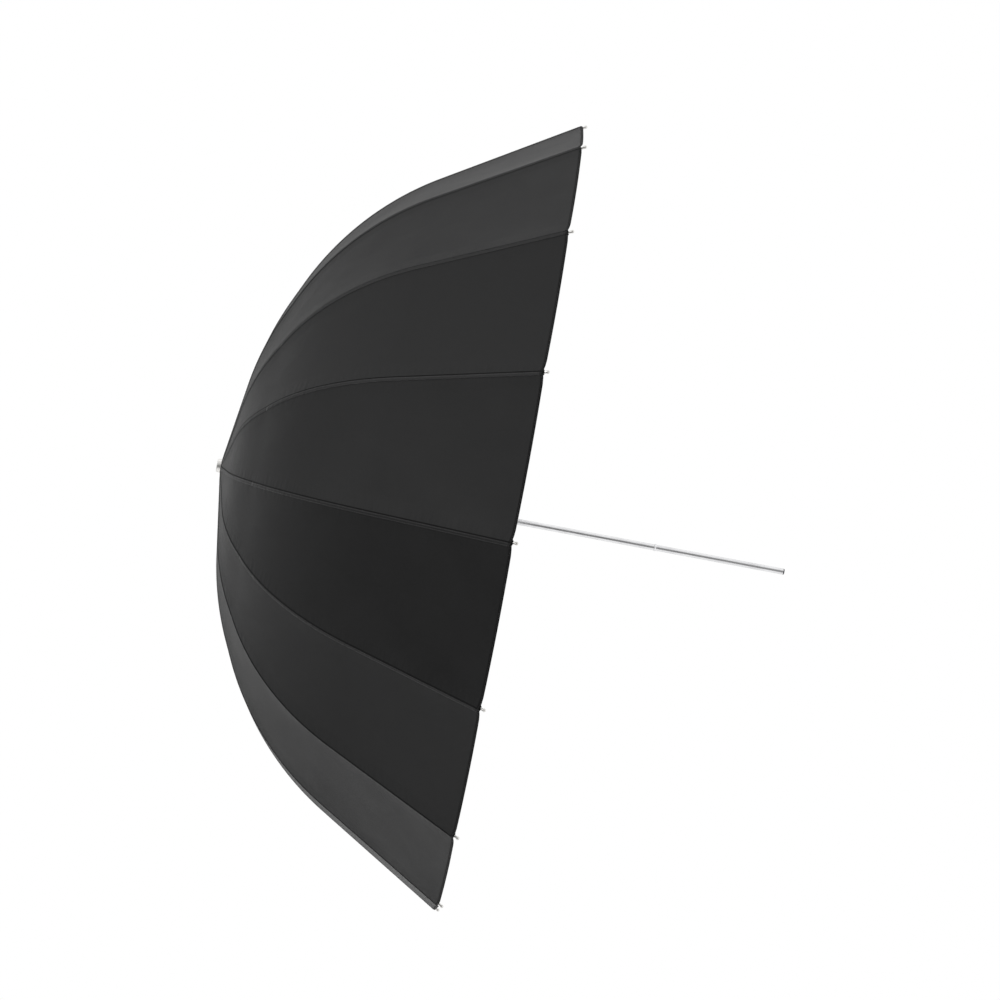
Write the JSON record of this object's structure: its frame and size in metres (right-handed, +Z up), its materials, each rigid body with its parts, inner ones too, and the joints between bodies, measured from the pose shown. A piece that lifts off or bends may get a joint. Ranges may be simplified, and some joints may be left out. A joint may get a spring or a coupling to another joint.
{
  "type": "umbrella reflector",
  "caption": "Photographic umbrella reflector: a deep dome canopy, dark outside and white inside, on jointed ribs and stretchers with a sliding runner, spring catch and slim steel shaft.",
  "frame": {"origin": "on the shaft's axis, where a stand's grip head holds it, in the plain stretch between the runner's stop bead and the shaft's tail", "axes": "+X along the shaft from the crown to the tail, +Z up through rib 1, and the canopy opens towards +X"},
  "size_m": [0.7661, 1.063, 1.063],
  "materials": {
    "cloth": "taut woven polyester, dark outside and white inside",
    "shaft_metal": "bright plated steel",
    "fitting_metal": "nickel plated",
    "rod": "black pultruded fibreglass with plated steel fittings",
    "moulding": "fine textured black moulding"
  },
  "bodies": {
    "root": {"shaft_tube": "shaft_metal", "shaft_end_plug": "moulding", "crown": "moulding", "crown_wire": "fitting_metal", "crown_pin": "fitting_metal", "catch_pin": "fitting_metal", "finial": "shaft_metal", "canopy_washer": "cloth", "canopy": "cloth"},
    "rib_inner_01": {"rib_inner_01": "rod"},
    "rib_outer_01": {"rib_outer_01": "rod"},
    "stretcher_01": {"stretcher_01": "fitting_metal"},
    "rib_inner_02": {"rib_inner_02": "rod"},
    "rib_outer_02": {"rib_outer_02": "rod"},
    "stretcher_02": {"stretcher_02": "fitting_metal"},
    "rib_inner_03": {"rib_inner_03": "rod"},
    "rib_outer_03": {"rib_outer_03": "rod"},
    "stretcher_03": {"stretcher_03": "fitting_metal"},
    "rib_inner_04": {"rib_inner_04": "rod"},
    "rib_outer_04": {"rib_outer_04": "rod"},
    "stretcher_04": {"stretcher_04": "fitting_metal"},
    "rib_inner_05": {"rib_inner_05": "rod"},
    "rib_outer_05": {"rib_outer_05": "rod"},
    "stretcher_05": {"stretcher_05": "fitting_metal"},
    "rib_inner_06": {"rib_inner_06": "rod"},
    "rib_outer_06": {"rib_outer_06": "rod"},
    "stretcher_06": {"stretcher_06": "fitting_metal"},
    "rib_inner_07": {"rib_inner_07": "rod"},
    "rib_outer_07": {"rib_outer_07": "rod"},
    "stretcher_07": {"stretcher_07": "fitting_metal"},
    "rib_inner_08": {"rib_inner_08": "rod"},
    "rib_outer_08": {"rib_outer_08": "rod"},
    "stretcher_08": {"stretcher_08": "fitting_metal"},
    "rib_inner_09": {"rib_inner_09": "rod"},
    "rib_outer_09": {"rib_outer_09": "rod"},
    "stretcher_09": {"stretcher_09": "fitting_metal"},
    "rib_inner_10": {"rib_inner_10": "rod"},
    "rib_outer_10": {"rib_outer_10": "rod"},
    "stretcher_10": {"stretcher_10": "fitting_metal"},
    "rib_inner_11": {"rib_inner_11": "rod"},
    "rib_outer_11": {"rib_outer_11": "rod"},
    "stretcher_11": {"stretcher_11": "fitting_metal"},
    "rib_inner_12": {"rib_inner_12": "rod"},
    "rib_outer_12": {"rib_outer_12": "rod"},
    "stretcher_12": {"stretcher_12": "fitting_metal"},
    "rib_inner_13": {"rib_inner_13": "rod"},
    "rib_outer_13": {"rib_outer_13": "rod"},
    "stretcher_13": {"stretcher_13": "fitting_metal"},
    "rib_inner_14": {"rib_inner_14": "rod"},
    "rib_outer_14": {"rib_outer_14": "rod"},
    "stretcher_14": {"stretcher_14": "fitting_metal"},
    "rib_inner_15": {"rib_inner_15": "rod"},
    "rib_outer_15": {"rib_outer_15": "rod"},
    "stretcher_15": {"stretcher_15": "fitting_metal"},
    "rib_inner_16": {"rib_inner_16": "rod"},
    "rib_outer_16": {"rib_outer_16": "rod"},
    "stretcher_16": {"stretcher_16": "fitting_metal"},
    "runner": {"runner": "moulding", "runner_wire": "fitting_metal"},
    "catch": {"catch_leaf": "fitting_metal"}
  },
  "joints": [
    {"name": "fold", "type": "hinge", "parent": "root", "child": "rib_inner_01", "pos_m": [-0.6692, 0, 0.0135], "axis": [0, 1, 0], "range_deg": [0, 74.95], "deforming": ["canopy"]},
    {"name": "rib_01_bend", "type": "hinge", "parent": "rib_inner_01", "child": "rib_outer_01", "pos_m": [-0.61128, 0, 0.24622], "axis": [0, 1, 0], "range_deg": [-34.6, 0]},
    {"name": "stretcher_01_swing", "type": "hinge", "parent": "rib_inner_01", "child": "stretcher_01", "pos_m": [-0.61128, 0, 0.24622], "axis": [0, 1, 0], "range_deg": [-149.9, 0]},
    {"name": "rib_02_fold", "type": "hinge", "parent": "root", "child": "rib_inner_02", "pos_m": [-0.6692, -0.00517, 0.01247], "axis": [0, 0.9239, 0.3827], "range_deg": [0, 74.95]},
    {"name": "rib_02_bend", "type": "hinge", "parent": "rib_inner_02", "child": "rib_outer_02", "pos_m": [-0.61128, -0.09422, 0.22747], "axis": [0, 0.9239, 0.3827], "range_deg": [-34.6, 0]},
    {"name": "stretcher_02_swing", "type": "hinge", "parent": "rib_inner_02", "child": "stretcher_02", "pos_m": [-0.61128, -0.09422, 0.22747], "axis": [0, 0.9239, 0.3827], "range_deg": [-149.9, 0]},
    {"name": "rib_03_fold", "type": "hinge", "parent": "root", "child": "rib_inner_03", "pos_m": [-0.6692, -0.00955, 0.00955], "axis": [0, 0.7071, 0.7071], "range_deg": [0, 74.95]},
    {"name": "rib_03_bend", "type": "hinge", "parent": "rib_inner_03", "child": "rib_outer_03", "pos_m": [-0.61128, -0.1741, 0.1741], "axis": [0, 0.7071, 0.7071], "range_deg": [-34.6, 0]},
    {"name": "stretcher_03_swing", "type": "hinge", "parent": "rib_inner_03", "child": "stretcher_03", "pos_m": [-0.61128, -0.1741, 0.1741], "axis": [0, 0.7071, 0.7071], "range_deg": [-149.9, 0]},
    {"name": "rib_04_fold", "type": "hinge", "parent": "root", "child": "rib_inner_04", "pos_m": [-0.6692, -0.01247, 0.00517], "axis": [0, 0.3827, 0.9239], "range_deg": [0, 74.95]},
    {"name": "rib_04_bend", "type": "hinge", "parent": "rib_inner_04", "child": "rib_outer_04", "pos_m": [-0.61128, -0.22747, 0.09422], "axis": [0, 0.3827, 0.9239], "range_deg": [-34.6, 0]},
    {"name": "stretcher_04_swing", "type": "hinge", "parent": "rib_inner_04", "child": "stretcher_04", "pos_m": [-0.61128, -0.22747, 0.09422], "axis": [0, 0.3827, 0.9239], "range_deg": [-149.9, 0]},
    {"name": "rib_05_fold", "type": "hinge", "parent": "root", "child": "rib_inner_05", "pos_m": [-0.6692, -0.0135, 0], "axis": [0, 0, 1], "range_deg": [0, 74.95]},
    {"name": "rib_05_bend", "type": "hinge", "parent": "rib_inner_05", "child": "rib_outer_05", "pos_m": [-0.61128, -0.24622, 0], "axis": [0, 0, 1], "range_deg": [-34.6, 0]},
    {"name": "stretcher_05_swing", "type": "hinge", "parent": "rib_inner_05", "child": "stretcher_05", "pos_m": [-0.61128, -0.24622, 0], "axis": [0, 0, 1], "range_deg": [-149.9, 0]},
    {"name": "rib_06_fold", "type": "hinge", "parent": "root", "child": "rib_inner_06", "pos_m": [-0.6692, -0.01247, -0.00517], "axis": [0, -0.3827, 0.9239], "range_deg": [0, 74.95]},
    {"name": "rib_06_bend", "type": "hinge", "parent": "rib_inner_06", "child": "rib_outer_06", "pos_m": [-0.61128, -0.22747, -0.09422], "axis": [0, -0.3827, 0.9239], "range_deg": [-34.6, 0]},
    {"name": "stretcher_06_swing", "type": "hinge", "parent": "rib_inner_06", "child": "stretcher_06", "pos_m": [-0.61128, -0.22747, -0.09422], "axis": [0, -0.3827, 0.9239], "range_deg": [-149.9, 0]},
    {"name": "rib_07_fold", "type": "hinge", "parent": "root", "child": "rib_inner_07", "pos_m": [-0.6692, -0.00955, -0.00955], "axis": [0, -0.7071, 0.7071], "range_deg": [0, 74.95]},
    {"name": "rib_07_bend", "type": "hinge", "parent": "rib_inner_07", "child": "rib_outer_07", "pos_m": [-0.61128, -0.1741, -0.1741], "axis": [0, -0.7071, 0.7071], "range_deg": [-34.6, 0]},
    {"name": "stretcher_07_swing", "type": "hinge", "parent": "rib_inner_07", "child": "stretcher_07", "pos_m": [-0.61128, -0.1741, -0.1741], "axis": [0, -0.7071, 0.7071], "range_deg": [-149.9, 0]},
    {"name": "rib_08_fold", "type": "hinge", "parent": "root", "child": "rib_inner_08", "pos_m": [-0.6692, -0.00517, -0.01247], "axis": [0, -0.9239, 0.3827], "range_deg": [0, 74.95]},
    {"name": "rib_08_bend", "type": "hinge", "parent": "rib_inner_08", "child": "rib_outer_08", "pos_m": [-0.61128, -0.09422, -0.22747], "axis": [0, -0.9239, 0.3827], "range_deg": [-34.6, 0]},
    {"name": "stretcher_08_swing", "type": "hinge", "parent": "rib_inner_08", "child": "stretcher_08", "pos_m": [-0.61128, -0.09422, -0.22747], "axis": [0, -0.9239, 0.3827], "range_deg": [-149.9, 0]},
    {"name": "rib_09_fold", "type": "hinge", "parent": "root", "child": "rib_inner_09", "pos_m": [-0.6692, 0, -0.0135], "axis": [0, -1, 0], "range_deg": [0, 74.95]},
    {"name": "rib_09_bend", "type": "hinge", "parent": "rib_inner_09", "child": "rib_outer_09", "pos_m": [-0.61128, 0, -0.24622], "axis": [0, -1, 0], "range_deg": [-34.6, 0]},
    {"name": "stretcher_09_swing", "type": "hinge", "parent": "rib_inner_09", "child": "stretcher_09", "pos_m": [-0.61128, 0, -0.24622], "axis": [0, -1, 0], "range_deg": [-149.9, 0]},
    {"name": "rib_10_fold", "type": "hinge", "parent": "root", "child": "rib_inner_10", "pos_m": [-0.6692, 0.00517, -0.01247], "axis": [0, -0.9239, -0.3827], "range_deg": [0, 74.95]},
    {"name": "rib_10_bend", "type": "hinge", "parent": "rib_inner_10", "child": "rib_outer_10", "pos_m": [-0.61128, 0.09422, -0.22747], "axis": [0, -0.9239, -0.3827], "range_deg": [-34.6, 0]},
    {"name": "stretcher_10_swing", "type": "hinge", "parent": "rib_inner_10", "child": "stretcher_10", "pos_m": [-0.61128, 0.09422, -0.22747], "axis": [0, -0.9239, -0.3827], "range_deg": [-149.9, 0]},
    {"name": "rib_11_fold", "type": "hinge", "parent": "root", "child": "rib_inner_11", "pos_m": [-0.6692, 0.00955, -0.00955], "axis": [0, -0.7071, -0.7071], "range_deg": [0, 74.95]},
    {"name": "rib_11_bend", "type": "hinge", "parent": "rib_inner_11", "child": "rib_outer_11", "pos_m": [-0.61128, 0.1741, -0.1741], "axis": [0, -0.7071, -0.7071], "range_deg": [-34.6, 0]},
    {"name": "stretcher_11_swing", "type": "hinge", "parent": "rib_inner_11", "child": "stretcher_11", "pos_m": [-0.61128, 0.1741, -0.1741], "axis": [0, -0.7071, -0.7071], "range_deg": [-149.9, 0]},
    {"name": "rib_12_fold", "type": "hinge", "parent": "root", "child": "rib_inner_12", "pos_m": [-0.6692, 0.01247, -0.00517], "axis": [0, -0.3827, -0.9239], "range_deg": [0, 74.95]},
    {"name": "rib_12_bend", "type": "hinge", "parent": "rib_inner_12", "child": "rib_outer_12", "pos_m": [-0.61128, 0.22747, -0.09422], "axis": [0, -0.3827, -0.9239], "range_deg": [-34.6, 0]},
    {"name": "stretcher_12_swing", "type": "hinge", "parent": "rib_inner_12", "child": "stretcher_12", "pos_m": [-0.61128, 0.22747, -0.09422], "axis": [0, -0.3827, -0.9239], "range_deg": [-149.9, 0]},
    {"name": "rib_13_fold", "type": "hinge", "parent": "root", "child": "rib_inner_13", "pos_m": [-0.6692, 0.0135, 0], "axis": [0, 0, -1], "range_deg": [0, 74.95]},
    {"name": "rib_13_bend", "type": "hinge", "parent": "rib_inner_13", "child": "rib_outer_13", "pos_m": [-0.61128, 0.24622, 0], "axis": [0, 0, -1], "range_deg": [-34.6, 0]},
    {"name": "stretcher_13_swing", "type": "hinge", "parent": "rib_inner_13", "child": "stretcher_13", "pos_m": [-0.61128, 0.24622, 0], "axis": [0, 0, -1], "range_deg": [-149.9, 0]},
    {"name": "rib_14_fold", "type": "hinge", "parent": "root", "child": "rib_inner_14", "pos_m": [-0.6692, 0.01247, 0.00517], "axis": [0, 0.3827, -0.9239], "range_deg": [0, 74.95]},
    {"name": "rib_14_bend", "type": "hinge", "parent": "rib_inner_14", "child": "rib_outer_14", "pos_m": [-0.61128, 0.22747, 0.09422], "axis": [0, 0.3827, -0.9239], "range_deg": [-34.6, 0]},
    {"name": "stretcher_14_swing", "type": "hinge", "parent": "rib_inner_14", "child": "stretcher_14", "pos_m": [-0.61128, 0.22747, 0.09422], "axis": [0, 0.3827, -0.9239], "range_deg": [-149.9, 0]},
    {"name": "rib_15_fold", "type": "hinge", "parent": "root", "child": "rib_inner_15", "pos_m": [-0.6692, 0.00955, 0.00955], "axis": [0, 0.7071, -0.7071], "range_deg": [0, 74.95]},
    {"name": "rib_15_bend", "type": "hinge", "parent": "rib_inner_15", "child": "rib_outer_15", "pos_m": [-0.61128, 0.1741, 0.1741], "axis": [0, 0.7071, -0.7071], "range_deg": [-34.6, 0]},
    {"name": "stretcher_15_swing", "type": "hinge", "parent": "rib_inner_15", "child": "stretcher_15", "pos_m": [-0.61128, 0.1741, 0.1741], "axis": [0, 0.7071, -0.7071], "range_deg": [-149.9, 0]},
    {"name": "rib_16_fold", "type": "hinge", "parent": "root", "child": "rib_inner_16", "pos_m": [-0.6692, 0.00517, 0.01247], "axis": [0, 0.9239, -0.3827], "range_deg": [0, 74.95]},
    {"name": "rib_16_bend", "type": "hinge", "parent": "rib_inner_16", "child": "rib_outer_16", "pos_m": [-0.61128, 0.09422, 0.22747], "axis": [0, 0.9239, -0.3827], "range_deg": [-34.6, 0]},
    {"name": "stretcher_16_swing", "type": "hinge", "parent": "rib_inner_16", "child": "stretcher_16", "pos_m": [-0.61128, 0.09422, 0.22747], "axis": [0, 0.9239, -0.3827], "range_deg": [-149.9, 0]},
    {"name": "runner_swing", "type": "hinge", "parent": "stretcher_01", "child": "runner", "pos_m": [-0.55335, 0, 0.0135], "axis": [0, 1, 0], "range_deg": [0, 74.95]},
    {"name": "catch_press", "type": "hinge", "parent": "root", "child": "catch", "pos_m": [-0.48355, 0, -0.0016], "axis": [0, -1, 0], "range_deg": [0, 5.5]}
  ],
  "couplings": [
    {"joint": "rib_01_bend", "follows": "fold", "ratio": -0.4616},
    {"joint": "stretcher_01_swing", "follows": "fold", "ratio": -2},
    {"joint": "rib_02_fold", "follows": "fold", "ratio": 1},
    {"joint": "rib_02_bend", "follows": "fold", "ratio": -0.4616},
    {"joint": "stretcher_02_swing", "follows": "fold", "ratio": -2},
    {"joint": "rib_03_fold", "follows": "fold", "ratio": 1},
    {"joint": "rib_03_bend", "follows": "fold", "ratio": -0.4616},
    {"joint": "stretcher_03_swing", "follows": "fold", "ratio": -2},
    {"joint": "rib_04_fold", "follows": "fold", "ratio": 1},
    {"joint": "rib_04_bend", "follows": "fold", "ratio": -0.4616},
    {"joint": "stretcher_04_swing", "follows": "fold", "ratio": -2},
    {"joint": "rib_05_fold", "follows": "fold", "ratio": 1},
    {"joint": "rib_05_bend", "follows": "fold", "ratio": -0.4616},
    {"joint": "stretcher_05_swing", "follows": "fold", "ratio": -2},
    {"joint": "rib_06_fold", "follows": "fold", "ratio": 1},
    {"joint": "rib_06_bend", "follows": "fold", "ratio": -0.4616},
    {"joint": "stretcher_06_swing", "follows": "fold", "ratio": -2},
    {"joint": "rib_07_fold", "follows": "fold", "ratio": 1},
    {"joint": "rib_07_bend", "follows": "fold", "ratio": -0.4616},
    {"joint": "stretcher_07_swing", "follows": "fold", "ratio": -2},
    {"joint": "rib_08_fold", "follows": "fold", "ratio": 1},
    {"joint": "rib_08_bend", "follows": "fold", "ratio": -0.4616},
    {"joint": "stretcher_08_swing", "follows": "fold", "ratio": -2},
    {"joint": "rib_09_fold", "follows": "fold", "ratio": 1},
    {"joint": "rib_09_bend", "follows": "fold", "ratio": -0.4616},
    {"joint": "stretcher_09_swing", "follows": "fold", "ratio": -2},
    {"joint": "rib_10_fold", "follows": "fold", "ratio": 1},
    {"joint": "rib_10_bend", "follows": "fold", "ratio": -0.4616},
    {"joint": "stretcher_10_swing", "follows": "fold", "ratio": -2},
    {"joint": "rib_11_fold", "follows": "fold", "ratio": 1},
    {"joint": "rib_11_bend", "follows": "fold", "ratio": -0.4616},
    {"joint": "stretcher_11_swing", "follows": "fold", "ratio": -2},
    {"joint": "rib_12_fold", "follows": "fold", "ratio": 1},
    {"joint": "rib_12_bend", "follows": "fold", "ratio": -0.4616},
    {"joint": "stretcher_12_swing", "follows": "fold", "ratio": -2},
    {"joint": "rib_13_fold", "follows": "fold", "ratio": 1},
    {"joint": "rib_13_bend", "follows": "fold", "ratio": -0.4616},
    {"joint": "stretcher_13_swing", "follows": "fold", "ratio": -2},
    {"joint": "rib_14_fold", "follows": "fold", "ratio": 1},
    {"joint": "rib_14_bend", "follows": "fold", "ratio": -0.4616},
    {"joint": "stretcher_14_swing", "follows": "fold", "ratio": -2},
    {"joint": "rib_15_fold", "follows": "fold", "ratio": 1},
    {"joint": "rib_15_bend", "follows": "fold", "ratio": -0.4616},
    {"joint": "stretcher_15_swing", "follows": "fold", "ratio": -2},
    {"joint": "rib_16_fold", "follows": "fold", "ratio": 1},
    {"joint": "rib_16_bend", "follows": "fold", "ratio": -0.4616},
    {"joint": "stretcher_16_swing", "follows": "fold", "ratio": -2},
    {"joint": "runner_swing", "follows": "fold", "ratio": 1}
  ]
}
